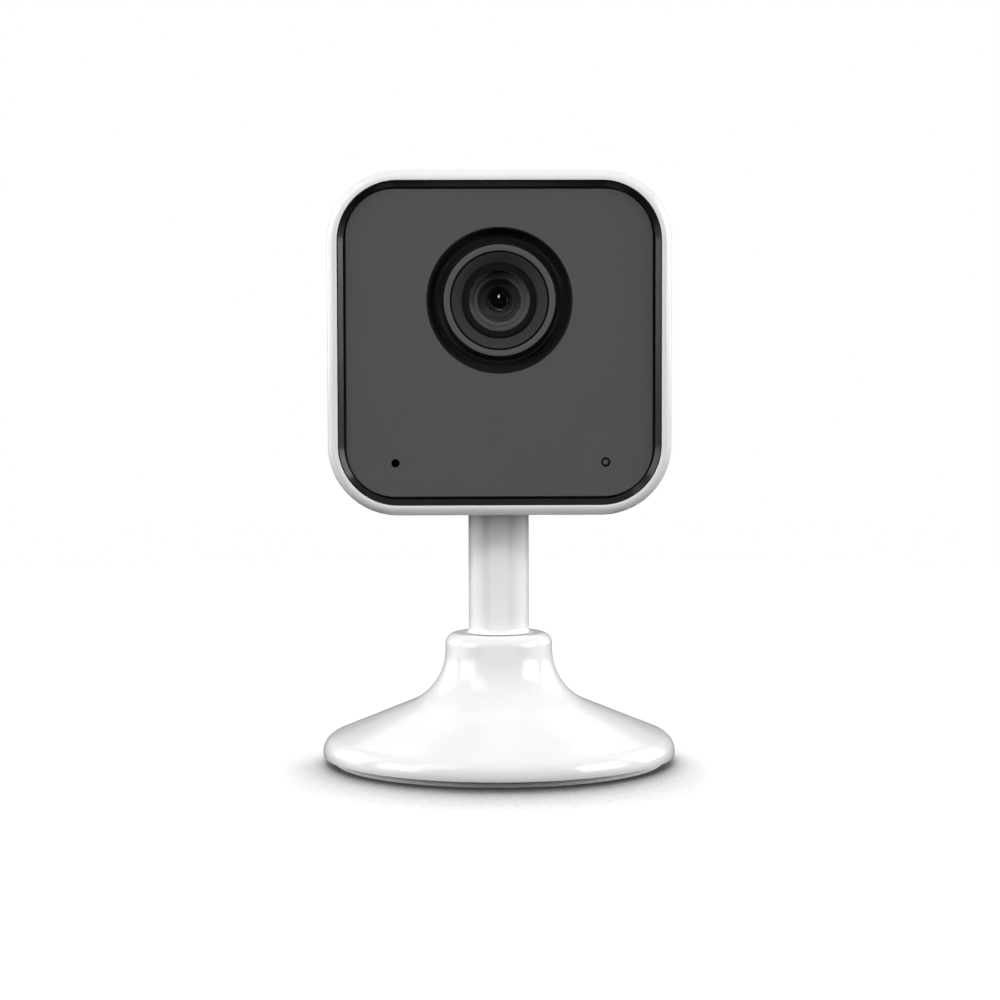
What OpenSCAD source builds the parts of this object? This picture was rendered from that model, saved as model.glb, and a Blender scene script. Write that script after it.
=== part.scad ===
// Indoor security camera: a square head that tilts and turns on a weighted desk stand.
// Millimetres, +Z up. The camera looks along -Y, and the stem's axis is the Z axis.
// The origin is the centre of the foot pad's underside.

/* [Stand] */
// Diameter of the base at its widest ring
base_d = 64.4; // [64:0.2:66]
// Height of that ring above the table
rim_z = 2.1; // [2:0.1:2.3]
// Radius that rounds the rim
rim_r = 3.3; // [3:0.1:3.4]
// Slope of the cone above the rim, in degrees from the table
cone_slope = 22.5; // [22:0.1:23]
// Radius of the hollow sweep between the cone and the collar
sweep_r = 10.5; // [10:0.1:11]
// Diameter of the collar round the stem's foot
collar_d = 19.6; // [19:0.1:20]
// Height of the collar's top
collar_z = 23.7; // [23.6:0.1:25]
// Diameter of the stem
stem_d = 11; // [10.4:0.1:11]

/* [Head] */
// Width and height of the head
head_w = 61.2; // [61.2:0.2:64]
// Radius of the head's corners, seen from the front
head_corner_r = 12.5; // [12:0.1:12.6]
// Height of the head's lowest face above the table
head_z = 46; // [45:0.1:50]
// Distance from the stem's axis forward to the housing's lip
head_front = 13; // [13:0.1:13.4]
// Distance from the stem's axis back to the housing's rear face
head_back = 14; // [14:0.1:15]
// Wall thickness at the housing's sides
shell_wall = 1.8; // [1.7:0.1:1.8]
// Height of the tilt hinge above the head's lowest face
hinge_up = 7.2; // [7.2:0.1:7.4]
// How far the head can look down, in degrees
look_down = 15; // [5:1:15]

/* [Front] */
// Width of the flat dark plate
plate_w = 54.6; // [53:0.1:54.6]
// Depth of the plate's face behind the bezel's front edge
plate_recess = 0.8; // [0.4:0.1:0.9]
// Height of the lens axis above the head's centre
lens_up = 7.6; // [6:0.1:8]
// Diameter of the black dish round the lens
dish_d = 26; // [24:0.1:27]
// Diameter of the grey ring inside the dish
trim_d = 19.8; // [19.6:0.1:20.2]

/* [Moving parts] */
// Travel of the infrared filter frame between day and night
filter_travel = 5.4; // [5.2:0.1:5.4]
// Length of the lever arm that moves the frame
lever_arm = 7; // [7:0.1:7.2]

/* [Hidden] */
$fn = 64;
hull_fn = 32;
fit = 0.05;
eps = 0.1;

base_r = base_d / 2;
collar_r = collar_d / 2;
collar_edge_r = 2;
stem_r = stem_d / 2;
base_wall = 2;
cover_r = 29.3;
pad_r = 30.2;
pad_t = 1.3;
shell_foot_z = pad_t + fit;
cover_t = 1.2;
cover_top = pad_t + cover_t;
hub_z = 12;
bush_r = 5;
neck_r = 4;
screw_circle_r = 21;
screw_angles = [90, 210, 330];
base_screw_len = 5;
boss_r = 2.6;
boss_h = 4.7;
weight_r = 24;
weight_z = [cover_top + fit, 4.8];
magnet_r = 8.2;
magnet_t = 3;

// The cone is tangent to the rim's round below it and to the sweep above it.
rim_c = [base_r - rim_r, rim_z];
cone_run = base_r - rim_r * (1 - sin(cone_slope)) - collar_r - sweep_r * (1 - sin(cone_slope));
sweep_c = [
    collar_r + sweep_r,
    rim_z + rim_r * cos(cone_slope) + cone_run * tan(cone_slope) + sweep_r * cos(cone_slope),
];

head_top = head_z + head_w;
head_mid = head_z + head_w / 2;
lip_r = 1.6;
rear_edge_r = 4.5;
rear_wall = 2;
cavity_w = head_w - 2 * shell_wall;
cavity_r = head_corner_r - shell_wall;
cavity_back = head_back - rear_wall;

hinge_z = head_z + hinge_up;
pin_r = 1.5;
pin_hole_r = pin_r + fit;
knuckle_half = 4.6;
knuckle_r = stem_r - 0.2;
knuckle_drop = 6.2;
slot_half = stem_r + 0.5;
pocket_wall = 1.4;
pocket_half = slot_half + pocket_wall;
pocket_top = 8.6;
yoke_t = 1;
yoke_x = pocket_half + fit;
yoke_half_depth = 4.2;

bezel_w = cavity_w - 0.2;
bezel_r = cavity_r - 0.1;
bezel_front = -head_front + 0.5;
bezel_strip = 1;
web_y = [-9.6, -8.2];
plate_y = [bezel_front + plate_recess, web_y[0] - fit];
plate_r = 8.6;
groove_window_w = bezel_w - 2 * bezel_strip;
mic_at = [-18.6, head_mid - 21.3];
mic_hole_r = 0.75;
led_at = [18.9, head_mid - 21.2];

lens_z = head_mid + lens_up;
dish_r = dish_d / 2;
trim_r = trim_d / 2;
barrel_front = -10;
barrel_flange_back = -8.2;
barrel_back = -1.6;
barrel_r = 5.95;
holder_half = [12.6, 8.2];
holder_y = [-5.2, 1.45];
holder_screw_x = 11.2;
channel_y = [-1.05, -0.05];
frame_y = [-0.95, -0.15];
lever_y = [-2.3, -1.5];
lever_swing = 2 * asin(filter_travel / 2 / lever_arm);
lever_z = lens_z + 16.4;
tab_x = -filter_travel / 2;

sensor_board_y = [1.5, 2.5];
front_board_y = [-6.8, -5.8];
main_board_y = [6.6, 7.8];
board_notch = [10, head_z + 18.2];
board_screw_r = 0.8;
board_pilot_r = 0.85;

usb_at = [16, head_mid - 17];
reset_at = [-16, head_mid - 14.6];
sd_z = [head_mid - 17.1, head_mid - 3.1];
sd_slot_y = [4.9, 6.3];
speaker_at = [0, head_mid + 11.4];
speaker_r = 10;
ir_led_x = 19;
light_sensor_at = [12, head_mid + 20.4];

front_screws = [
    for (side = [-1, 1]) [side * 22.5, head_mid - 12.6],
    for (side = [-1, 1]) [side * 20, head_mid + 20.9],
];
main_screws = [
    for (side = [-1, 1]) [side * 20, head_mid - 22.1],
    for (side = [-1, 1]) [side * 19, head_mid + 21.9],
];
spacers = [
    for (side = [-1, 1], z = [head_mid + 0.4, head_mid + 23.9]) [side * 13.5, z],
];

// ---- shared shapes ----

function arc(centre, r, from, to, steps) = [
    for (i = [0:steps]) let (a = from + (to - from) * i / steps) centre + r * [cos(a), sin(a)]
];

module rounded_rect(w, h, r) {
    square([w, h - 2 * r], center = true);
    square([w - 2 * r, h], center = true);
    for (x = [-1, 1], y = [-1, 1]) translate([x * (w / 2 - r), y * (h / 2 - r)]) circle(r);
}

// A flat shape drawn in X and Z, made solid from y[0] to y[1].
module slab(y) {
    translate([0, y[1], 0]) rotate([90, 0, 0]) linear_extrude(y[1] - y[0]) children();
}

// The same, centred on the power socket.
module usb_slab(y) {
    translate([usb_at[0], 0, usb_at[1]]) slab(y) children();
}

// A disc with its axis along Y, centred at at = [x, z].
module disc(r, y, at = [0, lens_z]) {
    translate([at[0], y[1], at[1]]) rotate([90, 0, 0]) cylinder(r = r, h = y[1] - y[0]);
}

// A cone along Y: front_r at y[0], back_r at y[1].
module cone_y(front_r, back_r, y, at = [0, lens_z]) {
    translate([at[0], y[1], at[1]]) rotate([90, 0, 0]) cylinder(r1 = back_r, r2 = front_r, h = y[1] - y[0]);
}

// A rod with its axis along X on the tilt hinge.
module hinge_rod(r, x) {
    translate([x[0], 0, hinge_z]) rotate([0, 90, 0]) cylinder(r = r, h = x[1] - x[0]);
}

// A box from y[0] to y[1], centred at at = [x, z], of size [w, h].
module chip(size, y, at) {
    translate([at[0] - size[0] / 2, y[0], at[1] - size[1] / 2]) cube([size[0], y[1] - y[0], size[1]]);
}

// A flat shape drawn in Y and Z round the tilt hinge, made solid from -half to half along X.
module hinge_slab(half) {
    translate([-half, 0, hinge_z]) rotate([90, 0, 90]) linear_extrude(2 * half) children();
}

// What the stem sweeps inside the head, r either side of its axis, from looking down to straight up.
module swept_profile(r) {
    reach = 30;
    polygon(concat(
        arc([0, 0], r, 90, 180 - look_down, 10),
        [
            r * [-cos(look_down), sin(look_down)] + reach * [-sin(look_down), -cos(look_down)],
            [reach, -reach],
            [reach, r],
        ]
    ));
}

module pan_screw(r, head_r, head_y, tip_y, at) {
    disc(head_r, head_y, at);
    disc(r, [min(head_y[0], tip_y), max(head_y[1], tip_y)], at);
}

module board(y, w, low, high) {
    difference() {
        translate([0, 0, (low + high) / 2]) slab(y) rounded_rect(w, high - low, 8);
        translate([-board_notch[0], y[0] - eps, low - eps])
            cube([2 * board_notch[0], y[1] - y[0] + 2 * eps, board_notch[1] - low]);
        children();
    }
}

// ---- stand ----

module on_screw_circle() {
    for (a = screw_angles) rotate(a) translate([screw_circle_r, 0, 0]) children();
}

module base_shell() {
    hub_angle = asin((sweep_c[1] - hub_z) / (sweep_r + base_wall));
    foot_angle = asin((rim_z - shell_foot_z) / rim_r);
    bush_hole_r = bush_r + 0.03;
    inner_foot = [[cover_r + 0.1, shell_foot_z], [cover_r + 0.1, rim_z + 0.4]];
    color("white") difference() {
        union() {
            rotate_extrude() polygon(concat(
                [[bush_hole_r, collar_z]],
                arc([collar_r - collar_edge_r, collar_z - collar_edge_r], collar_edge_r, 90, 0, 8),
                arc(sweep_c, sweep_r, 180, 270 - cone_slope, 16),
                arc(rim_c, rim_r, 90 - cone_slope, -foot_angle, 14),
                inner_foot,
                arc(sweep_c, sweep_r + base_wall, 270 - cone_slope, 180 + hub_angle, 8),
                [[bush_hole_r, hub_z]]
            ));
            on_screw_circle() translate([0, 0, cover_top + fit]) cylinder(r = boss_r, h = boss_h);
        }
        on_screw_circle() cylinder(r = 1.05, h = pad_t + base_screw_len + 0.2);
    }
}

module base_cover() {
    color("white") difference() {
        translate([0, 0, pad_t]) cylinder(r = cover_r, h = cover_t);
        on_screw_circle() {
            cylinder(r = 1.1, h = cover_top + 1);
            cylinder(r = 2.1, h = pad_t + 0.8);
        }
    }
}

module foot_pad() {
    color("dimgray") cylinder(r = pad_r, h = pad_t);
}

module base_weight() {
    color("silver") difference() {
        translate([0, 0, weight_z[0]]) cylinder(r = weight_r, h = weight_z[1] - weight_z[0]);
        cylinder(r = magnet_r + 0.1, h = 10);
        on_screw_circle() cylinder(r = boss_r + 0.2, h = 10);
    }
}

module base_magnet() {
    color("gray") translate([0, 0, weight_z[0]]) cylinder(r = magnet_r, h = magnet_t);
}

module base_screws() {
    color("silver") on_screw_circle() translate([0, 0, pad_t + fit]) {
        cylinder(r = 2, h = 0.7);
        cylinder(r = 1, h = base_screw_len);
    }
}

module swivel_bush() {
    color("ivory") difference() {
        union() {
            translate([0, 0, hub_z - 1]) cylinder(r = 6.5, h = 1);
            translate([0, 0, hub_z - 1]) cylinder(r = bush_r, h = collar_z - hub_z + 1 - fit);
        }
        cylinder(r = neck_r + fit, h = 30);
    }
}

module swivel_washer() {
    color("silver") difference() {
        translate([0, 0, hub_z - 1.95]) cylinder(r = 6.6, h = 0.9);
        cylinder(r = pin_hole_r, h = 20);
    }
}

module swivel_spring() {
    color("gray") difference() {
        translate([0, 0, hub_z - 2.5]) cylinder(r = 4.6, h = 0.5);
        cylinder(r = pin_hole_r, h = 20);
    }
}

module swivel_screw() {
    color("silver") {
        translate([0, 0, hub_z - 4.6]) cylinder(r = 2.75, h = 2.05);
        translate([0, 0, hub_z - 4.6]) cylinder(r = pin_r, h = 11);
    }
}

module stem() {
    flare = 0.9;
    foot = collar_z + 0.1;
    color("white") difference() {
        union() {
            rotate_extrude() polygon(concat(
                [[0, hub_z - 1], [neck_r, hub_z - 1], [neck_r, foot]],
                arc([stem_r + flare, foot + flare], flare, 270, 180, 8),
                [[stem_r, hinge_z - knuckle_drop], [0, hinge_z - knuckle_drop]]
            ));
            hinge_slab(knuckle_half) {
                circle(knuckle_r);
                translate([-knuckle_r, -knuckle_drop - 1]) square([2 * knuckle_r, knuckle_drop + 1]);
            }
        }
        hinge_rod(pin_hole_r, [-10, 10]);
        translate([0, 0, hub_z - 2]) cylinder(r = pin_r + fit, h = 9);
    }
}

// ---- housing and tilt hinge ----

module head_block() {
    $fn = hull_fn;
    corner = head_w / 2 - head_corner_r;
    hull() for (x = [-corner, corner], z = [-corner, corner])
        translate([x, 0, head_mid + z]) rotate([90, 0, 0]) {
            translate([0, 0, head_front - lip_r])
                rotate_extrude() translate([head_corner_r - lip_r, 0]) circle(lip_r);
            translate([0, 0, rear_edge_r - head_back])
                rotate_extrude() translate([head_corner_r - rear_edge_r, 0]) circle(rear_edge_r);
        }
}

module grille_holes() {
    hole_r = 0.7;
    ring_step = 2.8;
    through = [cavity_back - eps, head_back + 1];
    disc(hole_r, through, speaker_at);
    for (ring = [1:3], i = [1:6 * ring])
        disc(hole_r, through, speaker_at + ring * ring_step * [cos(60 / ring * i), sin(60 / ring * i)]);
}

module snap_tabs(grow) {
    for (x = [-1, 1], z = [-12, 12])
        translate([x * (bezel_w / 2) - 0.5 - grow, web_y[0] + 0.2 - grow, head_mid + z - 4 - grow])
            cube([1 + 2 * grow, 1.2 + 2 * grow, 8 + 2 * grow]);
}

module rear_shell() {
    pocket_front = web_y[1] + fit;
    color("white") difference() {
        union() {
            difference() {
                head_block();
                translate([0, 0, head_mid]) slab([-head_front - 1, cavity_back])
                    rounded_rect(cavity_w, cavity_w, cavity_r);
            }
            intersection() {
                hinge_slab(pocket_half) {
                    swept_profile(pocket_half);
                    translate([-6, 0]) square([12, pocket_top]);
                }
                translate([-pocket_half - 1, pocket_front, head_z + 1.2])
                    cube([2 * pocket_half + 2, cavity_back + 0.3 - pocket_front, 24]);
            }
            for (at = main_screws) disc(2.2, [main_board_y[1] + fit, cavity_back + 0.3], at);
        }
        hinge_slab(slot_half) swept_profile(slot_half);
        hinge_rod(pin_hole_r, [-pocket_half - 1, pocket_half + 1]);
        for (x = [-4, 4]) translate([x, 0, hinge_z + pocket_top - 2.2]) cylinder(r = 0.95, h = 3);
        for (at = main_screws) disc(board_pilot_r, [main_board_y[1] - eps, cavity_back - 0.8], at);
        grille_holes();
        usb_slab([cavity_back - eps, head_back + 1]) rounded_rect(9, 4.2, 1.4);
        disc(1.75, [cavity_back - eps, head_back + 1], reset_at);
        translate([-head_w / 2 - 1, sd_slot_y[0], sd_z[0] + 1.3])
            cube([shell_wall + 1.5, sd_slot_y[1] - sd_slot_y[0], sd_z[1] - sd_z[0] - 2.6]);
        snap_tabs(0.15);
    }
}

module hinge_yoke() {
    cross_z = hinge_z + pocket_top + fit;
    color("silver") difference() {
        union() {
            for (side = [-1, 1]) translate([side * (yoke_x + yoke_t / 2), 0, 0]) hinge_slab(yoke_t / 2) {
                circle(yoke_half_depth);
                translate([-yoke_half_depth, 0]) square([2 * yoke_half_depth, pocket_top + fit + yoke_t]);
            }
            translate([-yoke_x - yoke_t, -yoke_half_depth, cross_z])
                cube([2 * (yoke_x + yoke_t), 2 * yoke_half_depth, yoke_t]);
        }
        hinge_rod(pin_hole_r, [-15, 15]);
        for (x = [-4, 4]) translate([x, 0, cross_z - 1]) cylinder(r = 1, h = 3);
    }
}

module yoke_screws() {
    head_low = hinge_z + pocket_top + yoke_t + 2 * fit;
    color("silver") for (x = [-4, 4]) translate([x, 0, 0]) {
        translate([0, 0, head_low]) cylinder(r = 1.6, h = 1);
        translate([0, 0, hinge_z + pocket_top - 2]) cylinder(r = 0.9, h = 3.2);
    }
}

module hinge_pin() {
    head_x = yoke_x + yoke_t + fit;
    color("silver") difference() {
        union() {
            hinge_rod(2.75, [-head_x - 2, -head_x]);
            hinge_rod(pin_r, [-head_x - 1, head_x + 3]);
        }
        translate([-head_x - 2.1, 0, hinge_z]) rotate([0, 90, 0]) cylinder(r = 1.45, h = 1.3, $fn = 6);
    }
}

module hinge_nut() {
    nut_x = yoke_x + yoke_t + fit;
    color("silver") difference() {
        translate([nut_x, 0, hinge_z]) rotate([0, 90, 0]) cylinder(r = 3.1, h = 2.4, $fn = 6);
        hinge_rod(pin_r + 0.03, [0, 20]);
    }
}

module hinge_washers() {
    color("ivory") for (side = [0, 1]) mirror([side, 0, 0]) difference() {
        hinge_rod(4.8, [knuckle_half + fit, slot_half - fit]);
        hinge_rod(pin_hole_r, [0, 20]);
    }
}

// ---- front ----

module front_bezel() {
    color([0.22, 0.22, 0.23]) difference() {
        union() {
            difference() {
                translate([0, 0, head_mid]) slab([bezel_front, web_y[1]])
                    rounded_rect(bezel_w, bezel_w, bezel_r);
                translate([0, 0, head_mid]) slab([bezel_front - 1, web_y[0]])
                    rounded_rect(groove_window_w, groove_window_w, bezel_r - bezel_strip);
            }
            for (at = front_screws) disc(2, [web_y[1] - eps, front_board_y[0] - fit], at);
            snap_tabs(0);
        }
        disc(dish_r, [-11, -5]);
        for (at = front_screws) disc(board_pilot_r, [web_y[0] + 0.6, -5], at);
        for (x = [-1, 1]) disc(2.6, [-11, -5], [x * ir_led_x, lens_z]);
        disc(1.5, [-11, -5], light_sensor_at);
        disc(mic_hole_r, [-11, -5], mic_at);
        disc(1.4, [-11, -5], led_at);
    }
}

module front_plate() {
    color([0.3, 0.3, 0.31]) difference() {
        translate([0, 0, head_mid]) slab(plate_y) rounded_rect(plate_w, plate_w, plate_r);
        disc(dish_r, [-20, 0]);
        disc(mic_hole_r, [-20, 0], mic_at);
        disc(0.85, [-20, 0], led_at);
    }
}

module lens_surround() {
    floor_y = [-9.6, -8.9];
    flange_back = -7.6;
    color([0.03, 0.03, 0.03]) difference() {
        union() {
            disc(dish_r - fit, [plate_y[0], flange_back]);
            disc(dish_r + 1.2, [web_y[1] + fit, flange_back]);
        }
        cone_y(dish_r - 0.25, trim_r + 0.35, [plate_y[0] - fit, floor_y[0]]);
        disc(trim_r + 0.05, [-20, 0]);
        disc(trim_r + 1.6, [floor_y[1], 0]);
    }
}

module lens_trim_ring() {
    lip_y = -10.2;
    color([0.3, 0.3, 0.31]) difference() {
        disc(trim_r, [plate_y[0] - 0.3, -8.6]);
        cone_y(8.9, 6.75, [plate_y[0] - 0.3, lip_y]);
        disc(6.75, [lip_y - fit, 0]);
        disc(7.35, [barrel_front - fit, 0]);
    }
}

module lens_barrel() {
    bore_steps = [[5.45, -8.6], [4.7, -7.8], [4.0, -7.0], [3.3, -6.2], [1.7, -5.2]];
    color([0.06, 0.06, 0.06]) difference() {
        union() {
            disc(7.2, [barrel_front, barrel_flange_back]);
            disc(barrel_r, [barrel_front, barrel_back]);
        }
        for (step = bore_steps) disc(step[0], [barrel_front - 1, step[1]]);
        disc(4.2, [-5.2, 0]);
    }
}

module lens_retainer() {
    color([0.05, 0.05, 0.05]) difference() {
        disc(6.6, [barrel_front - 0.5, barrel_front]);
        disc(5.5, [-20, 0]);
    }
}

module lens_front_element() {
    dome_r = 11;
    color([0.4, 0.5, 0.6, 0.4]) intersection() {
        disc(5.4, [-11, -8.65]);
        translate([0, barrel_front - 0.3 + dome_r, lens_z]) sphere(dome_r, $fn = 96);
    }
}

module lens_middle_element() {
    dome_r = 3;
    color([0.4, 0.5, 0.6, 0.4]) intersection() {
        disc(1.65, [-7, -5.3]);
        translate([0, -6.3 + dome_r, lens_z]) sphere(dome_r);
    }
}

module aperture_stop() {
    color([0.05, 0.05, 0.05]) difference() {
        disc(4.1, [-5.15, -4.95]);
        disc(1.2, [-6, -4]);
    }
}

module lens_rear_element() {
    dome_r = 6;
    color([0.4, 0.5, 0.6, 0.4]) intersection() {
        disc(4.1, [-5, -1.9]);
        translate([0, -4.8 + dome_r, lens_z]) sphere(dome_r);
    }
}

// ---- infrared filter switcher, between the lens and the sensor ----

module lens_holder() {
    color([0.08, 0.08, 0.08]) difference() {
        chip(2 * holder_half, holder_y, [0, lens_z]);
        disc(barrel_r + fit, [-10, -1.4]);
        disc(3.2, [-2, 0]);
        chip([19.2, 7.4], channel_y, [0, lens_z]);
        chip([8.2, 6], channel_y, [0, lens_z + 6]);
        chip([8.6, 8.6], [channel_y[1] - 0.01, 2], [0, lens_z]);
        for (x = [-1, 1]) disc(board_pilot_r, [-2, 3], [x * holder_screw_x, lens_z]);
    }
}

module holder_screws() {
    color("silver") for (x = [-1, 1])
        pan_screw(board_screw_r, 1.5, [sensor_board_y[1] + fit, 3.3], -1.8, [x * holder_screw_x, lens_z]);
}

module filter_frame() {
    color("ivory") difference() {
        union() {
            translate([-8.6, frame_y[0], lens_z - 3.2]) cube([12, frame_y[1] - frame_y[0], 6.4]);
            chip([2, 12], frame_y, [tab_x, lens_z + 5.4]);
        }
        disc(2.6, [-2, 1]);
        disc(2.6, [-2, 1], [-filter_travel, lens_z]);
        chip([1.1, 2], [-2, 1], [tab_x, lens_z + 9.9]);
    }
}

module ir_cut_glass() {
    color([0.4, 0.8, 0.9, 0.5]) disc(2.55, [-0.8, -0.3]);
}

module clear_glass() {
    color([0.9, 0.95, 0.95, 0.5]) disc(2.55, [-0.8, -0.3], [-filter_travel, lens_z]);
}

module filter_lever() {
    color("white") translate([0, 0, lever_z]) rotate([0, lever_swing / 2, 0]) difference() {
        union() {
            disc(1.6, lever_y, [0, 0]);
            disc(0.9, lever_y, [0, -lever_arm]);
            chip([1.5, lever_arm], lever_y, [0, -lever_arm / 2]);
            disc(0.45, [lever_y[0], -0.2], [0, -lever_arm]);
        }
        disc(0.53, [-5, 0], [0, 0]);
    }
}

module filter_actuator() {
    can_y = [-1.2, sensor_board_y[0] - fit];
    color("goldenrod") {
        disc(2.3, can_y, [0, lever_z]);
        disc(0.5, [lever_y[0] - 0.2, can_y[1]], [0, lever_z]);
    }
}

module image_sensor() {
    color([0.1, 0.15, 0.2]) chip([7.4, 7.4], [0.5, sensor_board_y[0] - 0.02], [0, lens_z]);
}

// ---- circuit boards ----

module sensor_board() {
    low = head_mid - 6.1;
    high = head_mid + 26.4;
    color("darkgreen") difference() {
        translate([0, 0, (low + high) / 2]) slab(sensor_board_y) rounded_rect(32, high - low, 2);
        for (x = [-1, 1]) disc(board_pilot_r, [0, 5], [x * holder_screw_x, lens_z]);
        for (at = spacers) disc(0.9, [0, 5], at);
    }
}

module board_spacers() {
    color("gold") for (at = spacers) difference() {
        union() {
            disc(1.8, [sensor_board_y[1] + fit, main_board_y[0] - fit], at);
            disc(0.85, [sensor_board_y[0] + 0.2, main_board_y[1] - 0.2], at);
        }
        disc(0.45, [0, 10], at);
    }
}

module sensor_flex() {
    thick = 0.25;
    out_x = 18.5;
    ends_y = [sensor_board_y[1] + 0.05, main_board_y[0] - 0.05];
    color("darkorange") translate([0, 0, lens_z]) linear_extrude(8) polygon([
        [13, ends_y[0]], [out_x, ends_y[0]], [out_x, ends_y[1]], [14, ends_y[1]],
        [14, ends_y[1] - thick], [out_x - thick, ends_y[1] - thick],
        [out_x - thick, ends_y[0] + thick], [13, ends_y[0] + thick],
    ]);
}

module front_board() {
    color("darkgreen") board(front_board_y, 50, head_mid - 25.6, head_mid + 24.9) {
        disc(8, [-10, 0]);
        for (at = front_screws) disc(1, [-10, 0], at);
    }
}

module front_board_screws() {
    color("silver") for (at = front_screws)
        pan_screw(board_screw_r, 1.5, [front_board_y[1] + fit, front_board_y[1] + 0.9], web_y[0] + 0.8, at);
}

module ir_leds() {
    color("lightgray") for (x = [-1, 1]) {
        chip([3.5, 3.5], [front_board_y[0] - 0.85, front_board_y[0] - fit], [x * ir_led_x, lens_z]);
        intersection() {
            translate([x * ir_led_x, front_board_y[0] - 0.8, lens_z]) sphere(1.3);
            disc(2, [-10, front_board_y[0] - 0.5], [x * ir_led_x, lens_z]);
        }
    }
}

module light_sensor() {
    color("black") chip([1.6, 1.2], [front_board_y[0] - 0.75, front_board_y[0] - fit], light_sensor_at);
}

module status_led() {
    color("lightyellow") chip([1.6, 0.8], [front_board_y[0] - 0.6, front_board_y[0] - fit], led_at);
}

module light_pipe() {
    color([0.9, 0.9, 0.9, 0.6]) {
        disc(0.55, [plate_y[0] + 0.35, -7.5], led_at);
        disc(1.3, [web_y[0] + 0.1, -7.5], led_at);
    }
}

module microphone() {
    color("silver") chip([3.5, 2.6], [-7.8, front_board_y[0] - fit], mic_at);
}

module mic_gasket() {
    color("black") difference() {
        disc(1.9, [web_y[1] + fit, -7.85], mic_at);
        disc(mic_hole_r, [-10, -5], mic_at);
    }
}

module main_board() {
    color("darkgreen") board(main_board_y, 52, head_mid - 26, head_mid + 25.4) {
        for (at = main_screws) disc(1, [5, 10], at);
        for (at = spacers) disc(0.9, [5, 10], at);
    }
}

module main_board_screws() {
    color("silver") for (at = main_screws)
        pan_screw(board_screw_r, 1.5, [main_board_y[0] - 0.9, main_board_y[0] - fit], cavity_back - 1, at);
}

module soc_chip() {
    color([0.1, 0.1, 0.1]) chip([12, 12], [5.5, main_board_y[0] - 0.02], [0, head_mid + 1.4]);
}

module thermal_pad() {
    color("lightgray") chip([11, 11], [4.45, 5.48], [0, head_mid + 1.4]);
}

module heat_spreader() {
    color("silver") translate([0, 0, head_mid + 5]) slab([3.4, 4.4]) rounded_rect(22, 28, 1);
}

module wifi_antenna() {
    color("goldenrod") translate([-15, -4, head_top - shell_wall - 0.5]) cube([30, 6, 0.4]);
}

// ---- speaker, sockets and button ----

module speaker() {
    color([0.15, 0.15, 0.15]) difference() {
        disc(speaker_r, [8.3, 11.3], speaker_at);
        cone_y(3, 8.4, [9.8, 11.31], speaker_at);
    }
}

module speaker_gasket() {
    color("black") difference() {
        disc(speaker_r, [11.35, cavity_back - fit], speaker_at);
        disc(9.2, [10, 14], speaker_at);
    }
}

module usb_port() {
    mouth_y = head_back - 0.8;
    color("silver") {
        difference() {
            usb_slab([main_board_y[1] + fit, mouth_y]) rounded_rect(7.6, 3, 0.8);
            usb_slab([mouth_y - 4.4, mouth_y + 1]) rounded_rect(7, 2.2, 0.6);
        }
        chip([3.8, 0.6], [mouth_y - 4.6, mouth_y - 0.6], usb_at);
    }
}

module sd_socket() {
    mouth_x = -head_w / 2 + shell_wall + 0.5;
    color("silver") difference() {
        translate([mouth_x, 4.7, sd_z[0]]) cube([14, main_board_y[0] - 4.7 - fit, sd_z[1] - sd_z[0]]);
        translate([mouth_x - 1, 5, sd_z[0] + 1.4]) cube([13.5, 1.2, sd_z[1] - sd_z[0] - 2.8]);
    }
}

module reset_switch() {
    color("black") {
        chip([4.5, 4.5], [main_board_y[1] + fit, 9.4], reset_at);
        disc(1, [9, 10.3], reset_at);
    }
}

module reset_button() {
    color("white") {
        disc(1.6, [11, head_back - 0.1], reset_at);
        disc(2.5, [11, cavity_back - 0.1], reset_at);
    }
}

base_shell();
base_cover();
foot_pad();
base_weight();
base_magnet();
base_screws();
swivel_bush();
swivel_washer();
swivel_spring();
swivel_screw();
stem();
rear_shell();
hinge_yoke();
hinge_pin();
hinge_nut();
hinge_washers();
yoke_screws();
front_bezel();
front_plate();
lens_surround();
lens_trim_ring();
lens_barrel();
lens_retainer();
lens_front_element();
lens_middle_element();
aperture_stop();
lens_rear_element();
lens_holder();
holder_screws();
filter_frame();
ir_cut_glass();
clear_glass();
filter_lever();
filter_actuator();
image_sensor();
sensor_board();
board_spacers();
sensor_flex();
front_board();
front_board_screws();
ir_leds();
light_sensor();
status_led();
light_pipe();
microphone();
mic_gasket();
main_board();
main_board_screws();
soc_chip();
thermal_pad();
heat_spreader();
wifi_antenna();
speaker();
speaker_gasket();
usb_port();
sd_socket();
reset_switch();
reset_button();
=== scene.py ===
"""Looks of the indoor security camera: smooth meshes, materials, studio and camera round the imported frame.

Shapes are worked out in millimetres in the frame's own axes (+Z up, the head faces -Y), and become
metres where a mesh is made. Places come from the frame's nodes.
"""
import math

import bmesh
import bpy
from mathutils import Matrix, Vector


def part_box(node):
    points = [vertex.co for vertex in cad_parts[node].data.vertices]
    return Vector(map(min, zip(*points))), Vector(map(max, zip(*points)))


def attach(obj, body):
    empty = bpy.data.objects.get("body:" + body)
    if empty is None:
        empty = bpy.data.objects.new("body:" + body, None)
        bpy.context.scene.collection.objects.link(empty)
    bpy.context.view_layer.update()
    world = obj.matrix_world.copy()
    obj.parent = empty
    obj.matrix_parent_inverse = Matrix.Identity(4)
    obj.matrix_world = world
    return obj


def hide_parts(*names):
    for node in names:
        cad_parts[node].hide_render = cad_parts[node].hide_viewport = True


MM = 0.001

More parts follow.
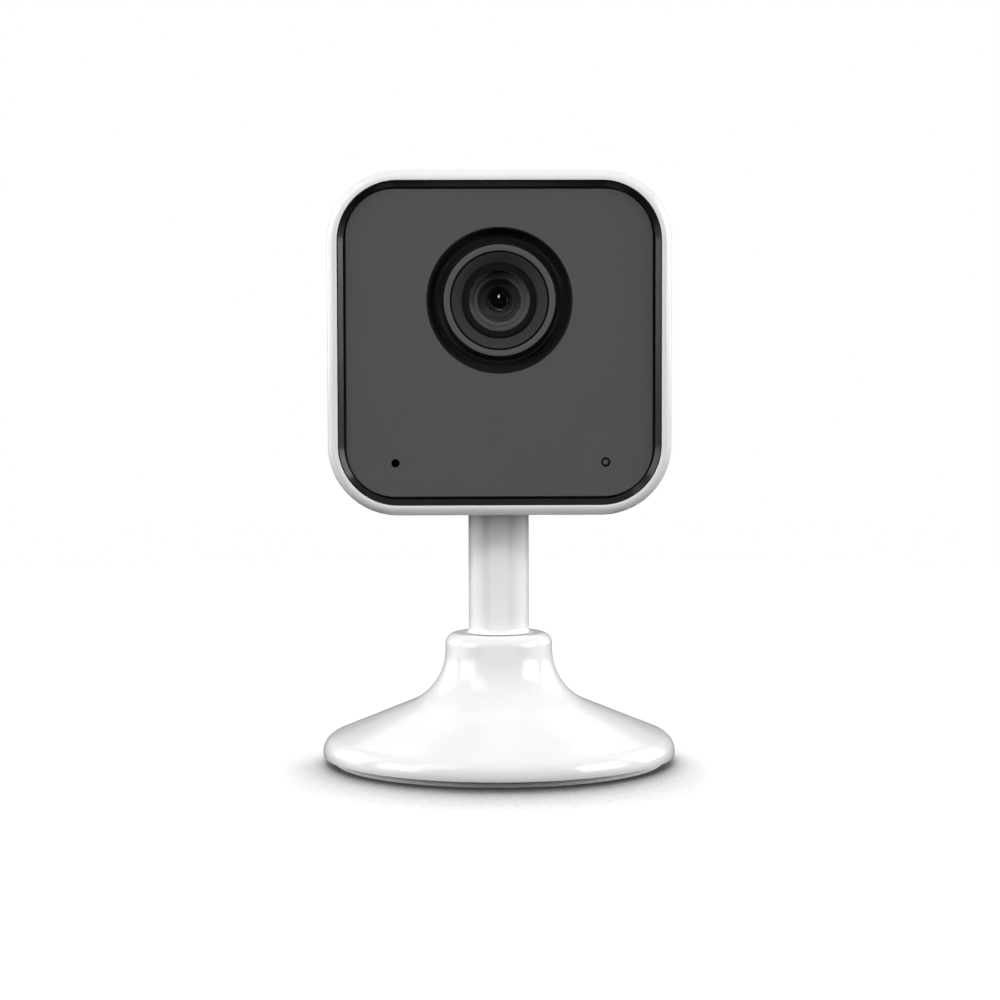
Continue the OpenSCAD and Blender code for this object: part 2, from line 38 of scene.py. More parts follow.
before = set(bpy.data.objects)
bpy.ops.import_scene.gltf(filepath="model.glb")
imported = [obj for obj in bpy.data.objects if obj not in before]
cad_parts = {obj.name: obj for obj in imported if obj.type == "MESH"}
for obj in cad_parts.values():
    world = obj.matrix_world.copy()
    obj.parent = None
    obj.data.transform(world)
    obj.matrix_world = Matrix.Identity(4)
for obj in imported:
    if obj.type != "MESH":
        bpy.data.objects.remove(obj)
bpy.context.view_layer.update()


# ---- places and sizes, in millimetres ----

def box_mm(node):
    """Lowest and highest corner of a CAD node."""
    low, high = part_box(node)
    return low / MM, high / MM


def middle_mm(node):
    """Middle of a CAD node's box."""
    low, high = box_mm(node)
    return (low + high) / 2


base_low, base_high = box_mm("base_shell")
stem_low, stem_high = box_mm("stem")
head_low, head_high = box_mm("rear_shell")
plate_low, plate_high = box_mm("front_plate")
bezel_low, bezel_high = box_mm("front_bezel")
dish_low, dish_high = box_mm("lens_surround")
ring_low, ring_high = box_mm("lens_trim_ring")
barrel_low, barrel_high = box_mm("lens_barrel")
pad_high = box_mm("foot_pad")[1]

# stand
RIM_R = 3.3
RIM_Z = 2.1
CONE_SLOPE = 22.5
SWEEP_R = 10.5
COLLAR_R = 9.8
COLLAR_EDGE = 2.0
BASE_WALL = 2.0
COVER_GAP_R = 29.4
COVER_GAP_TOP = RIM_Z + 0.4
HUB_Z = 12.0
BUSH_HOLE_R = 5.03
BOSS_CIRCLE_R = 21.0
BOSS_R = 2.6
BOSS_Z = (2.55, 7.25)
SCREW_HOLE_R = 1.05
SCREW_HOLE_TOP = 6.5

# stem
STEM_R = 5.5
NECK_R = 4.0
FOOT_Z = base_high.z + 0.1
FOOT_FLARE = 0.9
KNUCKLE_HALF = 4.6
KNUCKLE_R = 5.3
HINGE_Z = stem_high.z - KNUCKLE_R
SHOULDER_Z = HINGE_Z - 6.2
PIN_HOLE_R = 1.55
SWIVEL_HOLE_TOP = 19.0

# head
HEAD_W = head_high.x - head_low.x
HEAD_MID = (head_low.z + head_high.z) / 2
CORNER_R = 12.5
LIP_R = 1.6
REAR_EDGE_R = 4.5
WALL = 1.8
REAR_WALL = 2.0
CAVITY_BACK = head_high.y - REAR_WALL
LOOK_DOWN = 15.0
SLOT_HALF = 6.0
POCKET_HALF = 7.4
POCKET_FRONT = -8.15
POCKET_TOP = 8.6
POCKET_TOP_HALF = 6.0
MAIN_BOARD_BACK = box_mm("main_board")[1].y
MAIN_BOSS_R = 2.2
SCREW_PILOT_R = 0.85
YOKE_PILOT_R = 0.95
YOKE_SCREW_X = 4
MAIN_SCREWS = [(side * x, HEAD_MID + z) for x, z in ((20.0, -22.1), (19.0, 21.9)) for side in (-1, 1)]

# front
BEZEL_W = HEAD_W - 2 * WALL - 0.2
BEZEL_R = CORNER_R - WALL - 0.1
BEZEL_STRIP = 1.0
BEZEL_SLOPE = 0.75
WEB_Y = (-9.6, -8.2)
THROUGH_WEB = (-11, -5)
FRONT_BOSS_R = 2.0
PLATE_W = plate_high.x - plate_low.x
PLATE_R = 8.6
FRONT_SCREWS = [(side * x, HEAD_MID + z) for x, z in ((22.5, -12.6), (20.0, 20.9)) for side in (-1, 1)]
LENS_Z = (ring_low.z + ring_high.z) / 2
GLASS_BORE_R = 5.42
BAFFLE_R = (3.9, 2.45)
BAFFLE_Y = (-8.6, -7.5, -6.7)
BEVEL_R = (2.05, 1.68)
BEVEL_BACK = -6.505
DISH_R = 13.0
TRIM_R = ring_high.x
CONE_FRONT_R = 8.48
RING_INNER_R = 8.83
RING_GROOVE = 0.8
MIC = middle_mm("microphone")
LED = middle_mm("light_pipe")
LIGHT_SENSOR = middle_mm("light_sensor")
IR_LED_X = 19.0
IR_HOLE_R = 2.6
SENSOR_HOLE_R = 1.5
PIPE_HOLE_R = 1.4
LIGHT_HOLE_R = 0.85
MIC_HOLE_R = 0.75

# rear
SPEAKER = middle_mm("speaker")
USB = middle_mm("usb_port")
RESET = middle_mm("reset_button")
CARD = middle_mm("sd_socket")
USB_OPENING = (9.0, 4.2, 1.4)
RESET_HOLE_R = 1.75
CARD_SLOT = (4.9, 6.3, 11.4)
GRILLE_HOLE_R = 0.7
GRILLE_STEP = 2.8
GRILLE_RINGS = 3
REAR_RIM = 0.18

# meshes
SMALLEST_CORNER = 0.02
CORNER_STEPS = 24
SHARP_ANGLE = 32.0


# ---- outlines ----

def arc(centre, radius, start, end, steps):
    """Points on an arc, with its angles in degrees."""
    angles = [math.radians(start + (end - start) * i / steps) for i in range(steps + 1)]
    return [(centre[0] + radius * math.cos(a), centre[1] + radius * math.sin(a)) for a in angles]


def rounded_rect(width, height, radius, steps):
    """A closed outline with round corners, centred on the origin."""
    radius = max(radius, SMALLEST_CORNER)
    points = []
    for quarter, (side_x, side_y) in enumerate(((1, 1), (-1, 1), (-1, -1), (1, -1))):
        centre = (side_x * (width / 2 - radius), side_y * (height / 2 - radius))
        points += arc(centre, radius, 90 * quarter, 90 * quarter + 90, steps)
    return points


def front_loop(points, y, centre_x, centre_z):
    """Places an outline that faces the front at depth y."""
    return [(centre_x + px, y, centre_z + pz) for px, pz in points]


def square_loops(width, radius, profile):
    """Rounded squares round the head's middle, one for each (inset, y) of the profile, for add_loft."""
    loops = []
    for inset, y in profile:
        side = width - 2 * inset
        loops.append(front_loop(rounded_rect(side, side, radius - inset, CORNER_STEPS), y, 0, HEAD_MID))
    return loops


def swept_outline(radius, reach):
    """What the stem sweeps about the hinge, as (y, z) points, radius either side of its axis."""
    lean = math.radians(LOOK_DOWN)
    points = arc((0, HINGE_Z), radius, 90, 180 - LOOK_DOWN, 24)
    low_y = points[-1][0] - reach * math.sin(lean)
    low_z = points[-1][1] - reach * math.cos(lean)
    return points + [(low_y, low_z), (reach, low_z), (reach, HINGE_Z + radius)]


def pocket_outline():
    """The walls round the swept space, cut off level with the bottom and rear walls, as (y, z) points."""
    lean = math.radians(LOOK_DOWN)
    low_z = head_low.z + 1.2
    back_y = CAVITY_BACK + 0.3
    join = 90 + math.degrees(math.asin(POCKET_TOP_HALF / POCKET_HALF))
    points = arc((0, HINGE_Z), POCKET_HALF, join, 180 - LOOK_DOWN, 16)
    drop = (points[-1][0] - POCKET_FRONT) / math.tan(lean)
    points += [(POCKET_FRONT, points[-1][1] - drop), (POCKET_FRONT, low_z)]
    points += [(back_y, low_z), (back_y, HINGE_Z + POCKET_HALF), (POCKET_TOP_HALF, HINGE_Z + POCKET_HALF)]
    points += [(side * POCKET_TOP_HALF, HINGE_Z + POCKET_TOP) for side in (1, -1)]
    return points


# ---- mesh building ----

def add_ring(mesh, points):
    """New vertices at points given in millimetres."""
    return [mesh.verts.new(Vector(p) * MM) for p in points]


def bridge(mesh, ring_a, ring_b):
    """Faces between two rings; a ring of one vertex is a pole."""
    count = max(len(ring_a), len(ring_b))
    if count == 1:
        return
    for i in range(count):
        j = (i + 1) % count
        corners = [ring_a[k % len(ring_a)] for k in (i, j)] + [ring_b[k % len(ring_b)] for k in (j, i)]
        mesh.faces.new(list(dict.fromkeys(corners)))


def add_revolve(mesh, profile, centre=(0, 0, 0), axis="Z", segments=192):
    """Turns a closed outline of (radius, height) points about an axis through centre."""
    rings = []
    for radius, height in profile:
        turns = [0.0] if radius < 1e-6 else [2 * math.pi * i / segments for i in range(segments)]
        ring = []
        for turn in turns:
            across, up = radius * math.cos(turn), radius * math.sin(turn)
            offset = {"Z": (across, up, height), "Y": (across, height, up), "X": (height, across, up)}[axis]
            ring.append(Vector(centre) + Vector(offset))
        rings.append(add_ring(mesh, ring))
    for ring_a, ring_b in zip(rings, rings[1:] + rings[:1]):
        bridge(mesh, ring_a, ring_b)


def add_loft(mesh, loops):
    """Joins loops of equal count, and closes each end with a flat face."""
    rings = [add_ring(mesh, loop) for loop in loops]
    for ring_a, ring_b in zip(rings, rings[1:]):
        bridge(mesh, ring_a, ring_b)
    mesh.faces.new(rings[0])
    mesh.faces.new(rings[-1])


def add_prism(mesh, outline, half):
    """An outline of (y, z) points made solid from -half to half along X."""
    add_loft(mesh, [[(x, y, z) for y, z in outline] for x in (-half, half)])


def add_block(mesh, low, high):
    """A box from its lowest to its highest corner."""
    outline = [(low[1], low[2]), (high[1], low[2]), (high[1], high[2]), (low[1], high[2])]
    add_loft(mesh, [[(x, y, z) for y, z in outline] for x in (low[0], high[0])])


def add_rod(mesh, radius, span, at, axis="Y", segments=48):
    """A plain rod along an axis, for holes and bosses."""
    add_revolve(mesh, [(0, span[0]), (radius, span[0]), (radius, span[1]), (0, span[1])], at, axis, segments)


def hole_profile(radius, face, depth, edge):
    """A hole from face down to depth whose rim is rounded by edge. Face and depth lie along the axis."""
    way = 1 if depth > face else -1
    rim = arc((0, 0), edge, 90, 0, 5)
    rounded = [(radius + edge - dx, face + way * (edge - dy)) for dx, dy in rim]
    return [(0, face - way), (radius + edge, face - way)] + rounded + [(radius, depth), (0, depth)]


def add_flared_loft(mesh, size, face, depth, edge, centre):
    """A rounded slot in the rear wall, cut from face forward to depth, with its rim rounded by edge."""
    width, height, radius = size
    profile = [(edge, face + 1)] + arc((edge, face - edge), edge, 90, 180, 5) + [(0.0, depth)]
    add_loft(mesh, [
        front_loop(rounded_rect(width + 2 * grow, height + 2 * grow, radius + grow, 8), y, *centre)
        for grow, y in profile
    ])


def to_object(mesh, name):
    """Turns a built mesh into an object, with its faces outward."""
    bmesh.ops.recalc_face_normals(mesh, faces=mesh.faces)
    data = bpy.data.meshes.new(name)
    mesh.to_mesh(data)
    mesh.free()
    made = bpy.data.objects.new(name, data)
    bpy.context.scene.collection.objects.link(made)
    return made


def apply_modifiers(piece):
    """Makes the modifiers' result the piece's own mesh."""
    depsgraph = bpy.context.evaluated_depsgraph_get()
    data = bpy.data.meshes.new_from_object(piece.evaluated_get(depsgraph))
    piece.modifiers.clear()
    piece.data = data


def carve(piece, tool_mesh, operation="DIFFERENCE"):
    """Cuts or joins one closed mesh into a piece."""
    tool = to_object(tool_mesh, piece.name + "_tool")
    change = piece.modifiers.new("carve", "BOOLEAN")
    change.operation = operation
    change.solver = "EXACT"
    change.object = tool
    apply_modifiers(piece)
    bpy.data.objects.remove(tool)


def shade(piece):
    """Smooth shading that keeps flat faces flat and sharp edges sharp."""
    mesh = bmesh.new()
    mesh.from_mesh(piece.data)
    bmesh.ops.dissolve_degenerate(mesh, dist=1e-7, edges=mesh.edges)
    bmesh.ops.recalc_face_normals(mesh, faces=mesh.faces)
    mesh.to_mesh(piece.data)
    mesh.free()
    piece.data.polygons.foreach_set("use_smooth", [True] * len(piece.data.polygons))
    piece.data.set_sharp_from_angle(angle=math.radians(SHARP_ANGLE))
    weighted = piece.modifiers.new("normals", "WEIGHTED_NORMAL")
    weighted.keep_sharp = True
    weighted.weight = 80
    apply_modifiers(piece)


def finish_piece(piece, body, slot, node, extra_looks=(), look=None):
    """Shades a piece, gives it its materials and joins it to the frame in place of its CAD node.

    The first material is the slot's own, unless look names another.
    """
    shade(piece)
    piece.data.materials.clear()
    for name in (look or slot, *extra_looks):
        piece.data.materials.append(MATERIALS[name])
    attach(piece, body)
    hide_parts(node)
    return piece


def paint(piece, index, test):
    """Gives material number index to the faces whose centre, in millimetres, passes the test."""
    for face in piece.data.polygons:
        if test(face.center / MM):
            face.material_index = index


def lens_radius(point):
    """How far a point lies from the lens's axis."""
    return math.hypot(point.x, point.z - LENS_Z)


# ---- materials ----

def node_tools(name):
    """A new material with its node tree, main shader and object coordinates."""
    material = bpy.data.materials.new(name)
    material.use_nodes = True
    tree = material.node_tree
    shader = tree.nodes["Principled BSDF"]
    coordinates = tree.nodes.new("ShaderNodeTexCoord")
    return material, tree, shader, coordinates.outputs["Object"]


def add_noise(tree, where, size_mm, detail=2.0, stretch=(1, 1, 1), roughness=0.5):
    """Noise whose features are about size_mm across, stretched along an axis if wanted."""
    mapping = tree.nodes.new("ShaderNodeMapping")
    mapping.inputs["Scale"].default_value = [s / (size_mm * MM) for s in stretch]
    tree.links.new(where, mapping.inputs["Vector"])
    noise = tree.nodes.new("ShaderNodeTexNoise")
    noise.inputs["Scale"].default_value = 1.0
    noise.inputs["Detail"].default_value = detail
    noise.inputs["Roughness"].default_value = roughness
    tree.links.new(mapping.outputs["Vector"], noise.inputs["Vector"])
    return noise.outputs["Fac"]


def add_range(tree, value, low, high, from_low=0.35, from_high=0.65):
    """Spreads a value from its own range to low..high."""
    spread = tree.nodes.new("ShaderNodeMapRange")
    spread.inputs["From Min"].default_value = from_low
    spread.inputs["From Max"].default_value = from_high
    spread.inputs["To Min"].default_value = low
    spread.inputs["To Max"].default_value = high
    tree.links.new(value, spread.inputs["Value"])
    return spread.outputs["Result"]


def add_mix(tree, factor, first, second):
    """Mixes two colours, or a colour and another mix's output."""
    mix = tree.nodes.new("ShaderNodeMix")
    mix.data_type = "RGBA"
    tree.links.new(factor, mix.inputs["Factor"])
    sockets = [s for s in mix.inputs if s.type == "RGBA"]
    for socket, colour in zip(sockets, (first, second)):
        if isinstance(colour, bpy.types.NodeSocket):
            tree.links.new(colour, socket)
        else:
            socket.default_value = (*colour, 1)
    return [s for s in mix.outputs if s.type == "RGBA"][0]


def scaled(colour, factor):
    """A colour made darker or lighter, no brighter than white."""
    return tuple(min(1.0, c * factor) for c in colour)


def add_shades(tree, value, colour, darkest, lightest):
    """Runs from a darker to a lighter shade of one colour as value goes over its usual range."""
    return add_mix(tree, add_range(tree, value, 0, 1), scaled(colour, darkest), scaled(colour, lightest))


def vary_roughness(tree, shader, value, least, most):
    """Lets the roughness follow value between two limits."""
    tree.links.new(add_range(tree, value, least, most), shader.inputs["Roughness"])


def add_bump(tree, shader, height, depth_mm, after=None):
    """Raises the surface by height, on top of an earlier bump where one is given."""
    bump = tree.nodes.new("ShaderNodeBump")
    bump.inputs["Strength"].default_value = 1.0
    bump.inputs["Distance"].default_value = depth_mm * MM
    tree.links.new(height, bump.inputs["Height"])
    if after is not None:
        tree.links.new(after, bump.inputs["Normal"])
    tree.links.new(bump.outputs["Normal"], shader.inputs["Normal"])
    return bump.outputs["Normal"]


def moulded(name, colour, roughness, mottle, wave, grain, coat=0.0, specular=0.5):
    """Moulded plastic with a slow colour mottle. Flow waves and fine grain are (size, depth) in mm."""
    material, tree, shader, where = node_tools(name)
    slow = add_noise(tree, where, 7.0)
    fine = add_noise(tree, where, grain[0], 3.0)
    tree.links.new(add_shades(tree, slow, colour, 1 - mottle, 1 + mottle), shader.inputs["Base Color"])
    vary_roughness(tree, shader, slow, roughness * 0.85, roughness * 1.15)
    waves = add_bump(tree, shader, add_noise(tree, where, wave[0]), wave[1])
    add_bump(tree, shader, fine, grain[1], waves)
    shader.inputs["Specular IOR Level"].default_value = specular
    shader.inputs["Coat Weight"].default_value = coat
    shader.inputs["Coat Roughness"].default_value = 0.12
    return material


def grained(name, colour, roughness, fleck, specular=0.5, grain=(0.16, 0.006)):
    """Fine-textured plastic or rubber with lighter and darker grains of (size, depth) in mm."""
    material, tree, shader, where = node_tools(name)
    slow = add_noise(tree, where, 9.0)
    grains = add_noise(tree, where, grain[0], 2.0, roughness=0.7)
    flecked = add_shades(tree, grains, colour, 1 - fleck, 1 + fleck)
    broad = add_mix(tree, add_range(tree, slow, 0, 0.35), flecked, scaled(colour, 1.05))
    tree.links.new(broad, shader.inputs["Base Color"])
    vary_roughness(tree, shader, grains, roughness * 0.9, roughness * 1.1)
    add_bump(tree, shader, grains, grain[1])
    shader.inputs["Specular IOR Level"].default_value = specular
    return material


def metal(name, colour, roughness, stretch=(1, 1, 1), size_mm=0.3, depth_mm=0.002):
    """Metal with fine tool marks, drawn out along an axis by stretch."""
    material, tree, shader, where = node_tools(name)
    marks = add_noise(tree, where, size_mm, 4.0, stretch)
    stain = add_noise(tree, where, 3.0)
    tree.links.new(add_shades(tree, stain, colour, 0.86, 1.06), shader.inputs["Base Color"])
    vary_roughness(tree, shader, marks, roughness * 0.7, roughness * 1.3)
    add_bump(tree, shader, marks, depth_mm)
    shader.inputs["Metallic"].default_value = 1.0
    return material


def clear(name, colour, roughness, ior, coat, coat_tint):
    """Filter glass, with a faint ripple and a thin coloured coating."""
    material, tree, shader, where = node_tools(name)
    ripple = add_noise(tree, where, 0.9)
    tree.links.new(add_shades(tree, ripple, colour, 0.97, 1), shader.inputs["Base Color"])
    vary_roughness(tree, shader, ripple, roughness * 0.6, roughness * 1.4)
    add_bump(tree, shader, ripple, 0.0004)
    shader.inputs["Transmission Weight"].default_value = 1.0
    shader.inputs["IOR"].default_value = ior
    shader.inputs["Coat Weight"].default_value = coat
    shader.inputs["Coat Tint"].default_value = (*coat_tint, 1)
    shader.inputs["Coat Roughness"].default_value = 0.02
    return material


def coated_glass(name, colour, roughness, alpha):
    """The front lens: its coating lets nearly all light through and leaves a faint, clean gloss."""
    material, tree, shader, where = node_tools(name)
    ripple = add_noise(tree, where, 0.9)
    tree.links.new(add_shades(tree, ripple, colour, 0.8, 1), shader.inputs["Base Color"])
    vary_roughness(tree, shader, ripple, roughness * 0.7, roughness * 1.3)
    shader.inputs["Alpha"].default_value = alpha
    return material


def cellular(name, colour, roughness, cell_mm, depth_mm):
    """Foam or rubber: small round cells in the surface, with painted shade that darkens each cell's sunken
    middle and lightens its raised rim.
    """
    material, tree, shader, where = node_tools(name)
    mapping = tree.nodes.new("ShaderNodeMapping")
    mapping.inputs["Scale"].default_value = [1 / (cell_mm * MM)] * 3
    tree.links.new(where, mapping.inputs["Vector"])
    cells = tree.nodes.new("ShaderNodeTexVoronoi")
    cells.inputs["Scale"].default_value = 1.0
    tree.links.new(mapping.outputs["Vector"], cells.inputs["Vector"])
    # painted shade: the colour runs from darker in each cell's sunken middle to lighter on its raised rim
    depth = add_range(tree, cells.outputs["Distance"], 0, 1, 0.0, 0.8)
    shades = add_mix(tree, depth, scaled(colour, 0.6), scaled(colour, 1.2))
    tree.links.new(shades, shader.inputs["Base Color"])
    vary_roughness(tree, shader, add_noise(tree, where, 2.0), roughness * 0.9, roughness)
    add_bump(tree, shader, cells.outputs["Distance"], depth_mm)
    shader.inputs["Specular IOR Level"].default_value = 0.25
    return material


def circuit_board(name, mask, track):
    """Solder mask with copper tracks showing through as a lighter, raised pattern."""
    material, tree, shader, where = node_tools(name)
    mapping = tree.nodes.new("ShaderNodeMapping")
    mapping.inputs["Rotation"].default_value = (math.radians(90), 0, 0)
    mapping.inputs["Scale"].default_value = [1 / (1.7 * MM)] * 3
    tree.links.new(where, mapping.inputs["Vector"])
    tracks = tree.nodes.new("ShaderNodeTexBrick")
    tracks.inputs["Scale"].default_value = 1.0
    tracks.inputs["Mortar Size"].default_value = 0.07
    tracks.inputs["Mortar Smooth"].default_value = 0.2
    tree.links.new(mapping.outputs["Vector"], tracks.inputs["Vector"])
    tree.links.new(add_mix(tree, tracks.outputs["Fac"], mask, track), shader.inputs["Base Color"])
    grain = add_noise(tree, where, 0.4)
    vary_roughness(tree, shader, grain, 0.25, 0.4)
    raised = add_bump(tree, shader, tracks.outputs["Fac"], 0.03)
    add_bump(tree, shader, grain, 0.004, raised)
    return material


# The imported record's slots and this script's own looks: how each is made, then that function's values.
FINISHES = {
    "white_gloss_plastic": (moulded, (0.89, 0.89, 0.892), 0.18, 0.01, (2.2, 0.0035), (0.25, 0.0006), 0.3),
    "dark_plate": (grained, (0.095, 0.095, 0.0955), 0.42, 0.10, 0.25),
    "dark_bezel": (moulded, (0.012, 0.012, 0.0125), 0.2, 0.1, (1.4, 0.003), (0.15, 0.001), 0.0, 0.25),
    "black_gloss": (moulded, (0.0125, 0.0125, 0.0128), 0.22, 0.1, (1.5, 0.002), (0.12, 0.0012), 0.0, 0.16),
    "grey_ring": (grained, (0.09, 0.09, 0.09), 0.5, 0.05, 0.5, (0.1, 0.002)),
    "black_matte": (grained, (0.009, 0.009, 0.0092), 0.6, 0.25, 0.08),
    # painted reflection: baffle and black_satin are the barrel's black made lighter and gloss-free, to stand
    # in for the sheen on its rings
    "baffle": (grained, (0.15, 0.15, 0.151), 0.55, 0.2, 0.0),
    "black_satin": (grained, (0.055, 0.055, 0.056), 0.5, 0.2, 0.0, (0.1, 0.001)),
    "ground_edge": (grained, (0.55, 0.55, 0.56), 0.5, 0.1, 0.5, (0.08, 0.002)),
    "glass": (coated_glass, (0.004, 0.005, 0.006), 0.012, 0.12),
    "filter_glass": (clear, (0.55, 0.82, 0.9), 0.01, 1.52, 0.6, (1.0, 0.45, 0.5)),
    "light_pipe": (moulded, (0.11, 0.11, 0.112), 0.3, 0.04, (0.6, 0.003), (0.1, 0.001)),
    # painted light: the pad's grey rubber is made near-white, to stand in for the bounce light that the
    # floor doesn't give
    "rubber": (grained, (0.88, 0.88, 0.882), 0.85, 0.06, 0.25, (0.35, 0.02)),
    "black_foam": (cellular, (0.02, 0.02, 0.02), 0.95, 0.3, 0.06),
    "thermal_rubber": (cellular, (0.42, 0.44, 0.48), 0.8, 0.5, 0.02),
    "steel": (metal, (0.58, 0.57, 0.55), 0.32),
    "spring_steel": (metal, (0.42, 0.42, 0.44), 0.26),
    "screw_steel": (metal, (0.62, 0.62, 0.62), 0.24, (1, 1, 1), 0.15),
    "socket_steel": (metal, (0.66, 0.66, 0.65), 0.22, (0.15, 1, 1)),
    "magnet": (metal, (0.55, 0.55, 0.57), 0.14, (1, 1, 1), 0.6, 0.001),
    "aluminium": (metal, (0.78, 0.78, 0.79), 0.38, (1, 1, 0.06), 0.18),
    "brass": (metal, (0.78, 0.60, 0.28), 0.28, (1, 1, 0.2)),
    "copper": (metal, (0.80, 0.42, 0.24), 0.3, (0.2, 1, 1), 0.2, 0.02),
    "nylon": (moulded, (0.72, 0.70, 0.64), 0.45, 0.03, (1.0, 0.004), (0.2, 0.003)),
    "led_body": (moulded, (0.75, 0.75, 0.70), 0.18, 0.04, (0.8, 0.004), (0.2, 0.001)),
    "sensor_chip": (moulded, (0.03, 0.045, 0.06), 0.1, 0.3, (0.5, 0.001), (0.05, 0.001), 0.6),
    "flex": (grained, (0.42, 0.20, 0.05), 0.35, 0.15, 0.5, (0.3, 0.01)),
    "board": (circuit_board, (0.008, 0.075, 0.03), (0.03, 0.17, 0.07)),
    "lens_core": (moulded, (0.003, 0.003, 0.0035), 0.05, 0.3, (1.0, 0.0004), (0.1, 0.0002), 0.0, 0.1),
    "dark_cone": (grained, (0.04, 0.04, 0.0405), 0.6, 0.3, 0.3, (0.12, 0.01)),
}

MATERIALS = {name: make(name, *values) for name, (make, *values) in FINISHES.items()}


def dress_cad_nodes():
    """Every CAD node that stays in view gets its slot's material."""
    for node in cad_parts.values():
        for slot in node.material_slots:
            slot.material = MATERIALS[slot.material.name.split(".")[0]]


# ---- stand ----

def stand_base():
    """The flared white base: collar, sweep, cone and round rim, hollow below, with three screw bosses."""
    slope = math.radians(CONE_SLOPE)
    sweep_x = COLLAR_R + SWEEP_R
    cone_run = base_high.x - RIM_R * (1 - math.sin(slope)) - COLLAR_R - SWEEP_R * (1 - math.sin(slope))
    sweep_z = RIM_Z + (RIM_R + SWEEP_R) * math.cos(slope) + cone_run * math.tan(slope)
    foot_angle = math.degrees(math.asin((RIM_Z - base_low.z) / RIM_R))
    hub_angle = math.degrees(math.asin((sweep_z - HUB_Z) / (SWEEP_R + BASE_WALL)))
    sweep_end = 270 - CONE_SLOPE
    bore_edge = 0.25
    profile = arc((BUSH_HOLE_R + bore_edge, base_high.z - bore_edge), bore_edge, 180, 90, 4)
    profile += arc((COLLAR_R - COLLAR_EDGE, base_high.z - COLLAR_EDGE), COLLAR_EDGE, 90, 0, 20)
    profile += arc((sweep_x, sweep_z), SWEEP_R, 180, sweep_end, 40)
    profile += arc((base_high.x - RIM_R, RIM_Z), RIM_R, 90 - CONE_SLOPE, -foot_angle, 28)
    profile += [(COVER_GAP_R, base_low.z), (COVER_GAP_R, COVER_GAP_TOP)]
    profile += arc((sweep_x, sweep_z), SWEEP_R + BASE_WALL, sweep_end, 180 + hub_angle, 16)
    profile.append((BUSH_HOLE_R, HUB_Z))
    mesh = bmesh.new()
    add_revolve(mesh, profile, segments=256)
    piece = to_object(mesh, "stand_base")
    bosses, holes = bmesh.new(), bmesh.new()
    for third in range(3):
        turn = math.radians(90 + 120 * third)
        at = (BOSS_CIRCLE_R * math.cos(turn), BOSS_CIRCLE_R * math.sin(turn), 0)
        add_rod(bosses, BOSS_R, BOSS_Z, at, "Z")
        add_rod(holes, SCREW_HOLE_R, (BOSS_Z[0] - 1, SCREW_HOLE_TOP), at, "Z")
    carve(piece, bosses, "UNION")
    carve(piece, holes)
    return finish_piece(piece, "base", "white_gloss_plastic", "base_shell")


def rubber_foot():
    """The pad under the stand, with a round edge, two grip grooves and a hollow middle."""
    radius, top = pad_high.x, pad_high.z
    edge, groove, hollow_r, hollow = 0.3, 0.25, 12.0, 0.15
    profile = [(0, top)] + arc((radius - edge, top - edge), edge, 90, 0, 4)
    profile += arc((radius - edge, edge), edge, 0, -90, 4)
    for middle in (26.2, 24.4):
        profile += [(middle + groove, 0), (middle + groove / 2, groove), (middle - groove / 2, groove),
                    (middle - groove, 0)]
    profile += [(hollow_r, 0), (hollow_r - 0.3, hollow), (0, hollow)]
    mesh = bmesh.new()
    add_revolve(mesh, profile, segments=160)
    return finish_piece(to_object(mesh, "rubber_foot"), "base", "rubber", "foot_pad")


def stem_tube():
    """The round stem with its flared foot below, and the flat-sided knuckle of the tilt hinge on top."""
    edge = 0.35
    profile = [(0, stem_low.z), (NECK_R - edge, stem_low.z), (NECK_R, stem_low.z + edge), (NECK_R, FOOT_Z)]
    rim_edge = 0.05
    profile += arc((STEM_R + FOOT_FLARE - rim_edge, FOOT_Z + rim_edge), rim_edge, 270, 450, 6)
    profile += arc((STEM_R + FOOT_FLARE, FOOT_Z + FOOT_FLARE), FOOT_FLARE, 240, 180, 12)
    profile += arc((STEM_R - edge, SHOULDER_Z - edge), edge, 0, 90, 5) + [(0, SHOULDER_Z)]
    mesh = bmesh.new()
    add_revolve(mesh, profile, segments=160)
    piece = to_object(mesh, "stem_tube")

    knuckle = bmesh.new()
    loops = []
    low_z = SHOULDER_Z - 1
    side = arc((KNUCKLE_R - edge, edge - KNUCKLE_HALF), edge, -90, 0, 3)
    for radius, x in side + [(radius, -x) for radius, x in reversed(side)]:
        outline = arc((0, HINGE_Z), radius, 0, 180, 40) + [(-radius, low_z), (radius, low_z)]
        loops.append([(x, y, z) for y, z in outline])
    add_loft(knuckle, loops)
    carve(piece, knuckle, "UNION")
    holes = bmesh.new()
    add_rod(holes, PIN_HOLE_R, (-10, 10), (0, 0, HINGE_Z), "X")
    add_rod(holes, PIN_HOLE_R, (stem_low.z - 1, SWIVEL_HOLE_TOP), (0, 0, 0), "Z")
    carve(piece, holes)
    return finish_piece(piece, "stem", "white_gloss_plastic", "stem")


# ---- head housing ----

def grille_places():
    """Centres of the speaker holes: rings of 1, 6, 12 and 18."""
    places = [(SPEAKER.x, SPEAKER.z)]
    for ring in range(1, GRILLE_RINGS + 1):
        for i in range(6 * ring):
            turn = math.radians(60 / ring * i)
            reach = ring * GRILLE_STEP
            places.append((SPEAKER.x + reach * math.cos(turn), SPEAKER.z + reach * math.sin(turn)))
    return places


